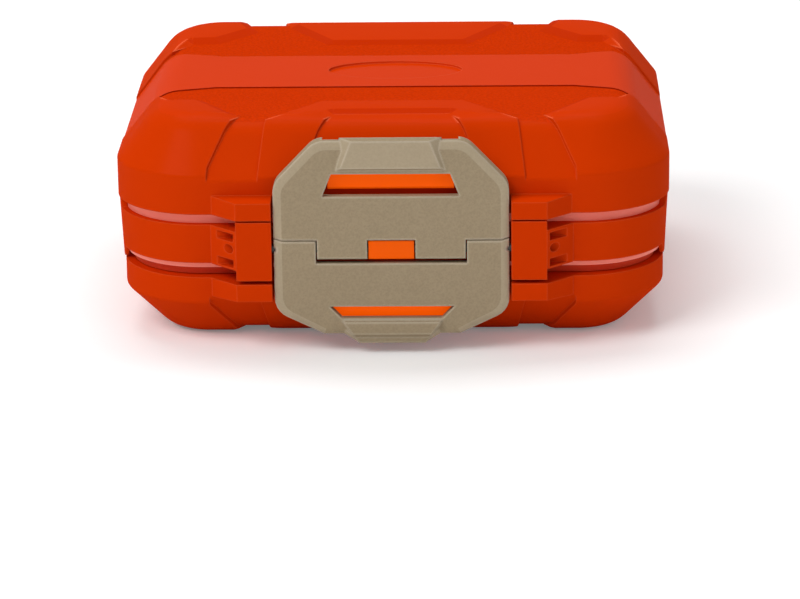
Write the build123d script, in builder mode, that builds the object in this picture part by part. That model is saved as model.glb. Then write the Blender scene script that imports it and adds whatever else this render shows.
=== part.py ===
from build123d import *
import math
import os

# Double-sided tackle box: two shallow lids hinged to one middle frame, a seal between
# each lid and the frame, two front latches on one common pin, and a compartment tray
# on either side of the frame. Millimetres, +Z up, the front faces -Y, and the origin
# is on the floor under the middle of the bounding box.

# Upper lid
lid_width = 128.6
lid_depth = 111.0
lid_corner = 20.5
lid_height = 21.0
lid_upright = 8.0
lid_shoulder = 9.3
lid_crease = 1.6
lid_brow = 9.0
lid_wall = 2.2
flange_inset = 5.0
flange_height = 2.4

# Lower lid, set in a little all round
base_step_x = 1.3
base_step_y = 0.6
base_step_corner = 0.5
base_height = 16.8
base_upright = 5.2
base_shoulder = 10.3

# Raised areas on both lids
panel_lift = 0.8
corner_lift = 1.1
band_lift = 0.35
raised_slope = 68.0
band_centre = -3.5
band_half = 14.4
band_half_side = 19.0
recess_x = 16.0
recess_y = 8.3
recess_depth = 0.6
pocket_half = 13.2

# Middle frame
frame_step = 0.3
frame_height = 14.0
frame_taper = 2.6
rim_gap = 0.6
rim_band = 5.9
web_rise = 6.2
web_thick = 1.6

# Seals and their grooves
groove_near = 1.5
groove_far = 4.9
groove_upper = 1.9
groove_lower = 2.8
seal_gap = 0.15
seal_fit = 0.05
seal_strip = 1.3
relief_length = 16.5

# Front latch pivot
ear_reach = 5.4
pivot_set = 1.7
pivot_rise = 7.6
knuckle_r = 2.55
swing_gap = 0.3
pin_r = 1.0
bore_fit = 0.05

# Latches
latch_half = 26.85
centre_half = 5.2
tab_out = 16.95
tab_gap = 0.3
tab_drop = 3.2
latch_round = 5.0
plate = 2.2
skirt = 2.1
skirt_wall = 1.9
bevel_in = 1.9
bevel_back = 0.8
upper_reach = 18.6
upper_cheek = 8.5
upper_cheek_x = 17.2
upper_slot = 5.7
upper_slot_high = 5.3
lower_reach = 14.1
lower_foot = 12.0
lower_cheek = 6.6
lower_cheek_x = 15.6
lower_slot = 5.3
lower_slot_high = 2.9
pad_lift = 1.2
tail_lift = 0.9
slot_half = 13.9
bar_half = 14.4
bar_gap = 0.5

# Ears and bosses beside the latches
ear_gap = 0.5
ear_width = 8.15
ear_slant = 6.0
ear_root_in = 1.1
boss_face = 4.1
boss_height = 4.5

# Rear hinges
hinge_reach = 3.7
hinge_drop = 0.3
hinge_r = 2.9
hinge_pin_r = 1.2
hinge_from_side = 28.0
hinge_half = 11.0
hinge_mid = 5.3
hinge_gap = 0.3
arm = 2.9

# Trays, dividers, rivets and foam
tray_fit = 0.5
tray_seat = 0.05
tray_wall = 1.6
tray_rise = 10.8
tray_drop = 7.4
spine = 1.4
divider_t = 1.2
divider_pitch = 19.5
divider_fit = 0.15
guide = 1.2
rivet_from_end = 10.0
rivet_r = 1.4
rivet_head_r = 2.6
rivet_head = 1.1
foam_margin = 5.2
foam_corner = 8.0
foam_upper_t = 4.2
foam_lower_t = 3.0

# Heights that follow
rim_lower = base_height
frame_low = rim_lower + rim_gap
frame_high = frame_low + frame_height
rim_upper = frame_high + rim_gap
web_low = frame_low + web_rise
web_high = web_low + web_thick
seat_upper = frame_high - groove_upper
seat_lower = frame_low + groove_lower
pivot_z = frame_low + pivot_rise
hinge_upper_z = rim_upper - hinge_drop
hinge_lower_z = rim_lower + hinge_drop
tray_top_upper = rim_upper + tray_rise
tray_top_lower = rim_lower - tray_drop

# Plan sizes that follow
half_x = lid_width / 2
half_y = lid_depth / 2
base_width = lid_width - 2 * base_step_x
base_depth = lid_depth - 2 * base_step_y
base_corner = lid_corner - base_step_corner
frame_width = lid_width - 2 * frame_step
frame_depth = lid_depth - 2 * frame_step
frame_corner = lid_corner - frame_step
frame_open_x = frame_width - 2 * rim_band
frame_open_y = frame_depth - 2 * rim_band
frame_open_corner = frame_corner - rim_band
front_plane = -half_y - ear_reach
pivot_y = front_plane + pivot_set
wall_front = -frame_depth / 2
wall_inside = wall_front + ear_root_in
wall_back = frame_depth / 2 - ear_root_in
relief_back = -half_y + relief_length
hinge_y = half_y + hinge_reach
hinge_x = half_x - hinge_from_side
swing_r = knuckle_r + swing_gap
tab_in = centre_half + tab_gap
ear_in = latch_half + ear_gap
ear_out = ear_in + ear_width
bar_front = front_plane + plate + bar_gap
skirt_open = bar_half + 0.6
tray_x = frame_open_x - 2 * tray_fit
tray_y = frame_open_y - 2 * tray_fit
tray_corner = frame_open_corner - tray_fit
guide_slot = divider_t + 2 * divider_fit
rivet_x = tray_x / 2 - rivet_from_end
rivet_y = tray_y / 4 - spine / 2 + 0.2
foam_x = lid_width - 2 * (lid_wall + lid_shoulder + foam_margin)
foam_y = lid_depth - 2 * (lid_wall + lid_shoulder + foam_margin)

os.makedirs("parts", exist_ok=True)


def lid_form(width, depth, corner, upright, height, shoulder):
    """Outer form of a lid standing on its rim: an upright wall, then a rounded shoulder."""
    with BuildPart() as form:
        with BuildSketch():
            RectangleRounded(width, depth, corner)
        extrude(amount=upright)
        with BuildSketch(Plane.XY.offset(upright)):
            RectangleRounded(width, depth, corner)
        with BuildSketch(Plane.XY.offset(height)):
            RectangleRounded(width - 2 * shoulder, depth - 2 * shoulder, corner - shoulder)
        loft(ruled=True)
        crease = form.edges().filter_by_position(Axis.Z, upright - 0.01, upright + 0.01)
        fillet(crease, lid_crease)
        brow = form.edges().filter_by_position(Axis.Z, height - 0.01, height + 0.01)
        fillet(brow, min(lid_brow, 0.72 * (height - upright)))
    return form.part


def raised(form, lift, outlines, top, slope=0):
    """The part of a lid form, shifted up by lift, that stands over the given plan outlines.

    The outlines run anticlockwise. Above the flat top their sides lean in by the slope."""
    with BuildPart() as block:
        for low, high, lean in ((0, top - 0.1, 0), (top - 0.1, top + lift + 0.2, slope)):
            with BuildSketch(Plane.XY.offset(low)):
                for outline in outlines:
                    with BuildLine():
                        Polyline(*outline, close=True)
                    make_face()
            extrude(amount=high - low, taper=lean)
        add(form.moved(Location((0, 0, lift))), mode=Mode.INTERSECT)
    return block.part


def both_sides(points):
    """An outline and its mirror image across the middle plane."""
    return [points, [(-x, y) for x, y in reversed(points)]]


# Plan outlines of the raised areas, the same pattern on both lids. The front panel leaves a
# finger pocket open behind the latch.
band_front = band_centre - band_half
band_back = band_centre + band_half
flare_front = band_centre - band_half_side
flare_back = band_centre + band_half_side
pocket_side = pocket_half + 4.3
front_panel = [
    (-17.4, band_front - 12.6), (-28.9, -half_y + 10.0), (-32.0, -half_y - 8),
    (-pocket_side, -half_y - 8), (-pocket_side, -half_y + 6.0), (-pocket_half, -half_y + 13.5),
    (pocket_half, -half_y + 13.5), (pocket_side, -half_y + 6.0), (pocket_side, -half_y - 8),
    (32.0, -half_y - 8), (28.9, -half_y + 10.0), (17.4, band_front - 12.6),
]
back_panel = [
    (-17.3, band_back + 11.8), (17.3, band_back + 11.8), (27.4, half_y - 15.0),
    (32.0, half_y + 8), (-32.0, half_y + 8), (-27.4, half_y - 15.0),
]
front_corner = [
    (half_x + 2, flare_front - 0.3), (half_x - 9.0, flare_front - 2.0),
    (half_x - 13.0, -half_y + 26.5), (half_x - 20.0, -half_y + 26.3),
    (half_x - 29.4, -half_y + 12.2), (half_x - 22.2, -half_y + 1.5), (half_x - 21.2, -half_y - 8),
    (half_x + 2, -half_y - 8),
]
back_corner = [
    (half_x + 2, half_y + 8), (half_x - 22.0, half_y + 8), (half_x - 25.5, half_y - 8.0),
    (half_x - 29.6, half_y - 19.7), (half_x - 20.4, half_y - 31.0),
    (half_x - 14.0, half_y - 31.4), (half_x - 9.0, flare_back + 2.0),
    (half_x + 2, flare_back + 0.3),
]
band_outline = [
    (-half_x - 2, flare_front), (-half_x + 10, flare_front + 1.0), (-half_x + 22, band_front),
    (half_x - 22, band_front), (half_x - 10, flare_front + 1.0), (half_x + 2, flare_front),
    (half_x + 2, flare_back), (half_x - 10, flare_back - 1.0), (half_x - 22, band_back),
    (-half_x + 22, band_back), (-half_x + 10, flare_back - 1.0), (-half_x - 2, flare_back),
]


def lid_outer(width, depth, corner, upright, height, shoulder):
    """A lid's outer solid with its raised panels, corner blocks and cross band, rim at z 0."""
    top = height - corner_lift
    form = lid_form(width, depth, corner, upright, top, shoulder)
    blocks = both_sides(front_corner) + both_sides(back_corner)
    panels = raised(form, panel_lift, [front_panel, back_panel], top, raised_slope)
    corners = raised(form, corner_lift, blocks, top, raised_slope)
    band = raised(form, band_lift, [band_outline], top)
    with BuildPart() as outer:
        add(form)
        add(panels)
        add(corners)
        add(band)
        with BuildSketch(Plane.XY.offset(top + band_lift - recess_depth)):
            with Locations((0, band_centre + 1.0)):
                Ellipse(recess_x, recess_y)
        extrude(amount=4, mode=Mode.SUBTRACT)
    return outer.part


def lid_cavity(width, depth, corner, upright, height, shoulder):
    """The hollow of a lid: the mouth inside the rim flange and the room above it."""
    inner = lid_form(
        width - 2 * lid_wall, depth - 2 * lid_wall, corner - lid_wall, upright - 0.9,
        height - corner_lift - lid_wall, shoulder,
    )
    with BuildPart() as cavity:
        add(inner)
        with BuildSketch(Plane.XY.offset(-1)):
            RectangleRounded(width + 4, depth + 4, corner)
        extrude(amount=flange_height + 1, mode=Mode.SUBTRACT)
        with BuildSketch(Plane.XY.offset(-1)):
            RectangleRounded(
                width - 2 * flange_inset, depth - 2 * flange_inset, corner - flange_inset
            )
        extrude(amount=flange_height + 1.5)
    return cavity.part


def ear_plan(side, slant=ear_slant):
    """Plan outline of an ear or boss: square towards the latch, slanted on its outer side."""
    points = [
        (ear_in, front_plane), (ear_out, front_plane), (ear_out + slant, wall_front),
        (ear_out + slant, wall_inside), (ear_in, wall_inside),
    ]
    return [(side * x, y) for x, y in points]


def lid_fittings(bar_low, bar_high, depth):
    """Catch bar, two front bosses and two rear hinge knuckles of a lid, rim at z 0."""
    inside = depth / 2 - lid_wall / 2
    with BuildPart() as fittings:
        with BuildSketch():
            for side in (-1, 1):
                with BuildLine():
                    Polyline(*ear_plan(side), close=True)
                make_face()
        extrude(amount=12)
        with BuildSketch(Plane.YZ):
            with BuildLine():
                Polyline(
                    (front_plane, 0), (front_plane, boss_face), (-half_y, boss_height),
                    (wall_inside, boss_height), (wall_inside, 0), close=True,
                )
            make_face()
        extrude(amount=60, both=True, mode=Mode.INTERSECT)
        with BuildSketch(Plane.YZ):
            with BuildLine():
                Polyline(
                    (bar_front, bar_low + 0.5), (bar_front, bar_high - 0.5),
                    (bar_front + 0.5, bar_high), (wall_front + 5.9, bar_high + 0.6),
                    (wall_front + 1.8, bar_low), (bar_front + 0.5, bar_low), close=True,
                )
            make_face()
        extrude(amount=bar_half, both=True)
        for x in (-hinge_x, hinge_x):
            with BuildSketch(Plane.YZ.offset(x - hinge_mid)):
                with Locations((hinge_y, -hinge_drop)):
                    Circle(hinge_r)
                with Locations(((inside + hinge_y) / 2, arm / 2)):
                    Rectangle(hinge_y - inside, arm)
            extrude(amount=2 * hinge_mid)
            with BuildSketch(Plane.YZ.offset(x - hinge_mid)):
                with Locations((hinge_y, -hinge_drop)):
                    Circle(hinge_pin_r + bore_fit)
            extrude(amount=2 * hinge_mid, mode=Mode.SUBTRACT)
    return fittings.part


def tray_form(height):
    """A compartment tray standing on its floor: two rows split by a spine, with divider guides."""
    inner_y = tray_y / 2 - tray_wall
    with BuildPart() as tray:
        with BuildSketch():
            RectangleRounded(tray_x, tray_y, tray_corner)
        extrude(amount=height)
        with BuildSketch(Plane.XY.offset(tray_wall)):
            RectangleRounded(tray_x - 2 * tray_wall, 2 * inner_y, tray_corner - tray_wall)
            Rectangle(tray_x, spine, mode=Mode.SUBTRACT)
        extrude(amount=height, mode=Mode.SUBTRACT)
        lip = tray.edges().filter_by_position(Axis.Z, height - 0.01, height + 0.01)
        chamfer(lip, 0.35)
        rib_x = (guide_slot + guide) / 2
        spots = [
            (k * divider_pitch + sign * rib_x, y)
            for k in range(-2, 3)
            for sign in (-1, 1)
            for y in (-inner_y + 0.6, -spine / 2 - 0.6, spine / 2 + 0.6, inner_y - 0.6)
        ]
        with BuildSketch(Plane.XY.offset(tray_wall - 0.4)):
            with Locations(*spots):
                Rectangle(guide, 1.6)
        extrude(amount=height - tray_wall - 1.6)
        with Locations(*[(x, y) for x in (-rivet_x, rivet_x) for y in (-rivet_y, rivet_y)]):
            Hole(rivet_r + bore_fit)
    return tray.part


def divider_form(height):
    """A lift-out divider standing across a tray row, with a finger scoop in its top edge."""
    length = tray_y / 2 - tray_wall - spine / 2 - 0.3
    with BuildPart() as divider:
        with BuildSketch(Plane.YZ.offset(-divider_t / 2)):
            with Locations((0, height / 2)):
                RectangleRounded(length, height, 1.0)
            with Locations((0, height + 3.0)):
                Circle(7.0, mode=Mode.SUBTRACT)
        extrude(amount=divider_t)
    return divider.part


def latch_knuckles(half, spans):
    """Round knuckles of a latch about the pin line, flat in front where they meet the plate."""
    with BuildPart() as knuckles:
        for low, high in spans:
            with BuildSketch(Plane.YZ.offset(low)):
                with Locations((pivot_y, pivot_z)):
                    Circle(knuckle_r)
                with Locations((front_plane - 5, pivot_z)):
                    Rectangle(10, 10, mode=Mode.SUBTRACT)
            extrude(amount=high - low)
    return knuckles.part


def swing_room(spans):
    """Cylinders about the pin line that a latch plate keeps clear of."""
    with BuildPart() as room:
        for low, high in spans:
            with BuildSketch(Plane.YZ.offset(low)):
                with Locations((pivot_y, pivot_z)):
                    Circle(swing_r)
            extrude(amount=high - low)
    return room.part


def mirrored(points):
    """A closed outline from its right half, listed from top to bottom."""
    return points + [(-x, z) for x, z in reversed(points)]


def eased(points, picks, radius=latch_round):
    """An open outline with the picked corners turned into arcs of short runs."""
    line = []
    for index, point in enumerate(points):
        if index not in picks:
            line.append(point)
            continue
        corner = Vector(*point)
        before = (Vector(*points[index - 1]) - corner).normalized()
        after = (Vector(*points[index + 1]) - corner).normalized()
        half = math.radians(before.get_angle(after)) / 2
        centre = corner + (before + after).normalized() * (radius / math.sin(half))
        sweep = math.pi - 2 * half
        start = corner + before * (radius / math.tan(half)) - centre
        turn = 1 if start.cross(after).Z > 0 else -1
        for step in range(6):
            arm = start.rotate(Axis.Z, turn * math.degrees(sweep) * step / 5)
            line.append((centre.X + arm.X, centre.Y + arm.Y))
    return line


def bevel_tool(outline, inset):
    """What a latch loses at its front edges: a slab less the frustum from outline to inset."""
    with BuildPart() as tool:
        with BuildSketch(front.offset(-bevel_back)):
            Rectangle(90, 200)
        extrude(amount=bevel_back)
        with BuildSketch(front.offset(-bevel_back), mode=Mode.PRIVATE) as back_sketch:
            with BuildLine():
                Polyline(*mirrored(outline), close=True)
            make_face()
        with BuildSketch(front, mode=Mode.PRIVATE) as front_sketch:
            with BuildLine():
                Polyline(*mirrored(inset), close=True)
            make_face()
        loft([back_sketch.sketch.faces()[0], front_sketch.sketch.faces()[0]], ruled=True,
             mode=Mode.SUBTRACT)
    return tool.part


front = Plane.XZ.offset(-front_plane)
side_in = latch_half - bevel_in
upper_sizes = (lid_width, lid_depth, lid_corner, lid_upright, lid_height, lid_shoulder)
upper_outer = lid_outer(*upper_sizes)
upper_cavity = lid_cavity(*upper_sizes)
upper_fittings = lid_fittings(upper_slot + 1.0, upper_slot + upper_slot_high + 0.4, lid_depth)
base_sizes = (base_width, base_depth, base_corner, base_upright, base_height, base_shoulder)
base_outer = lid_outer(*base_sizes)
base_cavity = lid_cavity(*base_sizes)
base_fittings = lid_fittings(lower_slot + 0.3, lower_slot + lower_slot_high + 1.2, base_depth)

# Upper lid, turning about the upper rear hinge.
with BuildPart() as upper_lid:
    with Locations((0, 0, rim_upper)):
        add(upper_outer)
        add(upper_fittings)
        add(upper_cavity, mode=Mode.SUBTRACT)
upper_lid.part.label = "upper_lid"
export_step(upper_lid.part, "parts/upper_lid.step")

# Lower lid, the same form turned over; the box stands on its corner blocks and panels.
with BuildPart() as lower_lid:
    with Locations((0, 0, rim_lower)):
        add(base_outer.mirror(Plane.XY))
        add(base_fittings.mirror(Plane.XY))
        add(base_cavity.mirror(Plane.XY), mode=Mode.SUBTRACT)
lower_lid.part.label = "lower_lid"
export_step(lower_lid.part, "parts/lower_lid.step")

# Middle frame: tapered ring with a web across it, seal grooves above and below, ears and a
# centre knuckle for the latch pin, and outer knuckles for both rear hinges.
with BuildPart() as groove_tool:
    with BuildSketch(Plane.XY.offset(seat_upper)):
        RectangleRounded(
            frame_width - 2 * groove_near, frame_depth - 2 * groove_near, frame_corner - groove_near
        )
        RectangleRounded(
            frame_width - 2 * groove_far, frame_depth - 2 * groove_far, frame_corner - groove_far,
            mode=Mode.SUBTRACT,
        )
    extrude(amount=4)
    with BuildSketch(Plane.XY.offset(seat_lower - 4)):
        RectangleRounded(
            frame_width - 2 * groove_near, frame_depth - 2 * groove_near, frame_corner - groove_near
        )
        RectangleRounded(
            frame_width - 2 * groove_far, frame_depth - 2 * groove_far, frame_corner - groove_far,
            mode=Mode.SUBTRACT,
        )
    extrude(amount=4)

with BuildPart() as relief_tool:
    with BuildSketch(Plane.XY.offset(frame_low - 2)):
        RectangleRounded(frame_width + 6, frame_depth + 6, frame_corner + 3)
        RectangleRounded(
            frame_width - 2 * groove_near - 0.1, frame_depth - 2 * groove_near - 0.1,
            frame_corner - groove_near, mode=Mode.SUBTRACT,
        )
    extrude(amount=frame_height + 6)
    with BuildSketch(Plane.YZ.offset(-half_x - 10)):
        with BuildLine():
            Polyline(
                (-half_y - 20, seat_upper), (relief_back - 1.4, seat_upper),
                (relief_back, frame_high), (relief_back, frame_high + 10),
                (-half_y - 20, frame_high + 10), close=True,
            )
        make_face()
        with BuildLine():
            Polyline(
                (-half_y - 20, seat_lower), (relief_back - 2.2, seat_lower),
                (relief_back, frame_low), (relief_back, frame_low - 7),
                (-half_y - 20, frame_low - 7), close=True,
            )
        make_face()
    extrude(amount=lid_width + 20, mode=Mode.INTERSECT)

with BuildPart() as mid_frame:
    with BuildSketch(Plane.XY.offset(frame_high)):
        RectangleRounded(frame_width, frame_depth, frame_corner)
    extrude(amount=frame_low - frame_high, taper=frame_taper)
    with BuildSketch(Plane.XY.offset(web_high)):
        RectangleRounded(frame_open_x, frame_open_y, frame_open_corner)
    extrude(amount=frame_height, mode=Mode.SUBTRACT)
    with BuildSketch(Plane.XY.offset(web_low)):
        RectangleRounded(frame_open_x, frame_open_y, frame_open_corner)
    extrude(amount=-frame_height, mode=Mode.SUBTRACT)
    add(groove_tool.part, mode=Mode.SUBTRACT)
    add(relief_tool.part, mode=Mode.SUBTRACT)
    with BuildSketch(Plane.XY.offset(frame_low + 0.3)):
        for side in (-1, 1):
            with BuildLine():
                Polyline(*ear_plan(side, 0), close=True)
            make_face()
    extrude(amount=frame_height - 0.1)
    with BuildSketch(Plane.XY.offset(seat_lower)):
        for side in (-1, 1):
            with BuildLine():
                Polyline(*ear_plan(side), close=True)
            make_face()
    extrude(amount=seat_upper - seat_lower)
    with BuildSketch(Plane.YZ.offset(-centre_half)):
        with Locations((pivot_y, pivot_z)):
            Circle(knuckle_r)
        with Locations(((pivot_y + wall_inside) / 2, pivot_z)):
            Rectangle(wall_inside - pivot_y, 3.6)
        with Locations((front_plane - 5 + 0.2, pivot_z)):
            Rectangle(10, 10, mode=Mode.SUBTRACT)
    extrude(amount=2 * centre_half)
    with BuildSketch(Plane.YZ.offset(-half_x)):
        with Locations((pivot_y, pivot_z)):
            Circle(pin_r + bore_fit)
    extrude(amount=lid_width, mode=Mode.SUBTRACT)
    for side in (-1, 1):
        with Locations(
            (side * (ear_out + 3.4), front_plane + 1.4, seat_upper - 1.7),
            (side * (ear_out + 3.4), front_plane + 1.4, seat_lower + 1.4),
        ):
            Box(5.6, 6.0, 1.9, mode=Mode.SUBTRACT)
    for hinge_z, arm_z in (
        (hinge_upper_z, frame_high - arm / 2), (hinge_lower_z, frame_low + arm / 2)
    ):
        for x in (-hinge_x - hinge_half, -hinge_x + hinge_mid + hinge_gap,
                  hinge_x - hinge_half, hinge_x + hinge_mid + hinge_gap):
            with BuildSketch(Plane.YZ.offset(x)):
                with Locations((hinge_y, hinge_z)):
                    Circle(hinge_r)
                with Locations(((wall_back + hinge_y) / 2, arm_z)):
                    Rectangle(hinge_y - wall_back, arm)
                with Locations((hinge_y, hinge_z)):
                    Circle(hinge_pin_r + bore_fit, mode=Mode.SUBTRACT)
            extrude(amount=hinge_half - hinge_mid - hinge_gap)
    with BuildSketch(Plane.XY.offset(web_low - 1)):
        with Locations(*[(x, y) for x in (-rivet_x, rivet_x) for y in (-rivet_y, rivet_y)]):
            Circle(rivet_r + bore_fit)
    extrude(amount=4, mode=Mode.SUBTRACT)
mid_frame.part.label = "mid_frame"
export_step(mid_frame.part, "parts/mid_frame.step")

# Upper seal: a plain strip that shows along the front relief.
near = groove_near + seal_fit
far = groove_far - seal_fit
with BuildPart() as upper_seal:
    with BuildSketch(Plane.XY.offset(seat_upper)):
        RectangleRounded(frame_width - 2 * near, frame_depth - 2 * near, frame_corner - near)
        RectangleRounded(
            frame_width - 2 * far, frame_depth - 2 * far, frame_corner - far, mode=Mode.SUBTRACT
        )
    extrude(amount=rim_upper - seal_gap - seat_upper)
    crown = upper_seal.edges().filter_by_position(Axis.Z, rim_upper - seal_gap - 0.01, rim_upper)
    chamfer(crown, 0.3)
upper_seal.part.label = "upper_seal"
export_step(upper_seal.part, "parts/upper_seal.step")

# Lower seal: a thin visible strip with a lip on its inner side that reaches the lower rim.
lip_near = groove_near + 1.5
with BuildPart() as lower_seal:
    with BuildSketch(Plane.XY.offset(seat_lower)):
        RectangleRounded(frame_width - 2 * near, frame_depth - 2 * near, frame_corner - near)
        RectangleRounded(
            frame_width - 2 * far, frame_depth - 2 * far, frame_corner - far, mode=Mode.SUBTRACT
        )
    extrude(amount=-seal_strip)
    with BuildSketch(Plane.XY.offset(rim_lower + seal_gap)):
        RectangleRounded(
            frame_width - 2 * lip_near, frame_depth - 2 * lip_near, frame_corner - lip_near
        )
        RectangleRounded(
            frame_width - 2 * far, frame_depth - 2 * far, frame_corner - far, mode=Mode.SUBTRACT
        )
    extrude(amount=seat_lower - 0.5 - rim_lower - seal_gap)
lower_seal.part.label = "lower_seal"
export_step(lower_seal.part, "parts/lower_seal.step")

# Upper latch: a plate with side skirts, a raised grip pad above a slot, and two inner tabs
# that reach down round the pin.
upper_tabs = [(-tab_out, -tab_in), (tab_in, tab_out)]
lower_tabs = [(-latch_half, -tab_out - tab_gap), (tab_out + tab_gap, latch_half)]
upper_room = swing_room([(-latch_half - 1, -tab_out), (-tab_in, tab_in), (tab_out, latch_half + 1)])
lower_room = swing_room([(-tab_out - tab_gap, tab_out + tab_gap)])
upper_knuckles = latch_knuckles(latch_half, upper_tabs)
lower_knuckles = latch_knuckles(latch_half, lower_tabs)

latch_top = rim_upper + upper_reach
cheek_z = rim_upper + upper_cheek
slot_z = rim_upper + upper_slot
split_z = pivot_z + knuckle_r - 0.2
slot_high = slot_z + upper_slot_high
with BuildPart() as upper_latch:
    with BuildSketch(front):
        with BuildLine():
            Polyline(
                *mirrored(eased([
                    (0, latch_top), (upper_cheek_x, latch_top), (latch_half, cheek_z),
                    (latch_half, split_z),
                ], (1, 2))[1:]),
                close=True,
            )
        make_face()
    extrude(amount=-plate)
    with BuildSketch(front.offset(-plate)):
        with BuildLine():
            Polyline(
                *mirrored(eased([
                    (0, latch_top), (upper_cheek_x, latch_top), (latch_half, cheek_z),
                    (latch_half, split_z + 2.0),
                ], (1, 2))[1:]),
                close=True,
            )
        make_face()
        with BuildLine():
            Polyline(
                *mirrored([
                    (skirt_open, latch_top + 1.1), (skirt_open + 1.2, latch_top - 1.9),
                    (latch_half - skirt_wall - 1.0, cheek_z + 0.4),
                    (latch_half - skirt_wall, cheek_z - 1.6),
                    (latch_half - skirt_wall, split_z + 1.0),
                ]),
                close=True,
            )
        make_face(mode=Mode.SUBTRACT)
    extrude(amount=-skirt)
    with BuildSketch(front):
        for side in (-1, 1):
            with Locations((side * (tab_in + tab_out) / 2, pivot_z + swing_r / 2 + 0.25)):
                Rectangle(tab_out - tab_in, swing_r + 0.5)
    extrude(amount=-plate)
    add(upper_room, mode=Mode.SUBTRACT)
    add(upper_knuckles)
    add(
        bevel_tool(
            eased([
                (0, latch_top), (upper_cheek_x, latch_top), (latch_half, cheek_z), (latch_half, 0),
            ], (1, 2))[1:],
            eased([
                (0, latch_top - bevel_in), (upper_cheek_x - 0.8, latch_top - bevel_in),
                (side_in, cheek_z - 0.8), (side_in, 0),
            ], (1, 2), latch_round - 0.6)[1:],
        ),
        mode=Mode.SUBTRACT,
    )
    with BuildSketch(front.offset(-1.2)):
        with BuildLine():
            Polyline(
                *mirrored([
                    (slot_half - 2.3, latch_top + 0.7), (slot_half - 0.4, slot_high + 0.1),
                ]),
                close=True,
            )
        make_face()
    with BuildSketch(front.offset(pad_lift)):
        with BuildLine():
            Polyline(
                *mirrored([
                    (slot_half - 5.0, latch_top + 0.4), (slot_half - 2.5, slot_high + 1.6),
                ]),
                close=True,
            )
        make_face()
    loft(ruled=True)
    with BuildSketch(front.offset(3)):
        with BuildLine():
            Polyline(
                *mirrored([
                    (slot_half - 0.4, slot_high), (slot_half + 1.7, slot_z),
                ]),
                close=True,
            )
        make_face()
    extrude(amount=-10, mode=Mode.SUBTRACT)
    with BuildSketch(Plane.YZ.offset(-latch_half - 3)):
        with Locations((pivot_y, pivot_z)):
            Circle(pin_r + bore_fit)
    extrude(amount=2 * latch_half + 6, mode=Mode.SUBTRACT)
upper_latch.part.label = "upper_latch"
export_step(upper_latch.part, "parts/upper_latch.step")

# Lower latch: the same idea turned down, with its tabs outside those of the upper latch.
foot_z = rim_lower - lower_foot
toe_z = rim_lower - lower_reach
cheek_low = rim_lower - lower_cheek
slot_top = rim_lower - lower_slot
slot_bottom = slot_top - lower_slot_high
with BuildPart() as lower_latch:
    with BuildSketch(front):
        with BuildLine():
            Polyline(
                *mirrored([
                    *eased([
                        (latch_half, pivot_z - tab_drop), (latch_half, cheek_low),
                        (lower_cheek_x, foot_z),
                    ], (1,)),
                    (lower_cheek_x - 4.5, foot_z), (lower_cheek_x - 7.8, toe_z),
                ]),
                close=True,
            )
        make_face()
    extrude(amount=-plate)
    with BuildSketch(front.offset(-plate)):
        with BuildLine():
            Polyline(
                *mirrored(eased([
                    (latch_half, pivot_z - tab_drop - 1.5), (latch_half, cheek_low),
                    (lower_cheek_x, foot_z),
                ], (1,))),
                close=True,
            )
        make_face()
        with BuildLine():
            Polyline(
                *mirrored([
                    (latch_half - skirt_wall, pivot_z - tab_drop - 0.5),
                    (latch_half - skirt_wall, cheek_low + 2.4),
                    (latch_half - skirt_wall - 1.6, cheek_low + 0.6),
                    (skirt_open, foot_z + 1.8), (skirt_open, foot_z - 1.1),
                ]),
                close=True,
            )
        make_face(mode=Mode.SUBTRACT)
    extrude(amount=-skirt)
    with BuildSketch(front):
        for side in (-1, 1):
            with Locations(
                (side * (tab_out + tab_gap + latch_half) / 2, pivot_z - tab_drop / 2 - 0.25)
            ):
                Rectangle(latch_half - tab_out - tab_gap, tab_drop + 0.5)
    extrude(amount=-plate)
    add(lower_room, mode=Mode.SUBTRACT)
    add(lower_knuckles)
    add(
        bevel_tool(
            eased([
                (latch_half, rim_upper + 9), (latch_half, cheek_low), (lower_cheek_x, foot_z),
            ], (1,)) + [(lower_cheek_x - 4.5, foot_z), (lower_cheek_x - 7.8, toe_z)],
            eased([
                (side_in, rim_upper + 9), (side_in, cheek_low + 1.1),
                (lower_cheek_x - 0.5, foot_z + 1.4),
            ], (1,), latch_round - 0.6) + [
                (lower_cheek_x - 4.8, foot_z + 1.4), (lower_cheek_x - 8.0, toe_z),
            ],
        ),
        mode=Mode.SUBTRACT,
    )
    with BuildSketch(front.offset(-1.2)):
        with BuildLine():
            Polyline(
                *mirrored([(slot_half - 1.9, slot_bottom - 0.1), (lower_cheek_x - 7.8, toe_z)]),
                close=True,
            )
        make_face()
    with BuildSketch(front.offset(tail_lift)):
        with BuildLine():
            Polyline(
                *mirrored([
                    (slot_half - 2.7, slot_bottom - 0.7), (slot_half - 4.8, foot_z + 0.3),
                ]),
                close=True,
            )
        make_face()
    loft(ruled=True)
    with BuildSketch(front.offset(3)):
        with BuildLine():
            Polyline(
                *mirrored([(slot_half + 0.4, slot_top), (slot_half - 2.4, slot_bottom)]), close=True
            )
        make_face()
    extrude(amount=-10, mode=Mode.SUBTRACT)
    with BuildSketch(Plane.YZ.offset(-latch_half - 3)):
        with Locations((pivot_y, pivot_z)):
            Circle(pin_r + bore_fit)
    extrude(amount=2 * latch_half + 6, mode=Mode.SUBTRACT)
lower_latch.part.label = "lower_latch"
export_step(lower_latch.part, "parts/lower_latch.step")

# Latch pin through both ears, the centre knuckle and both latches.
with BuildPart() as latch_pin:
    with BuildSketch(Plane.YZ.offset(-ear_out + 0.6)):
        with Locations((pivot_y, pivot_z)):
            Circle(pin_r)
    extrude(amount=2 * ear_out - 1.2)
latch_pin.part.label = "latch_pin"
export_step(latch_pin.part, "parts/latch_pin.step")

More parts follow.
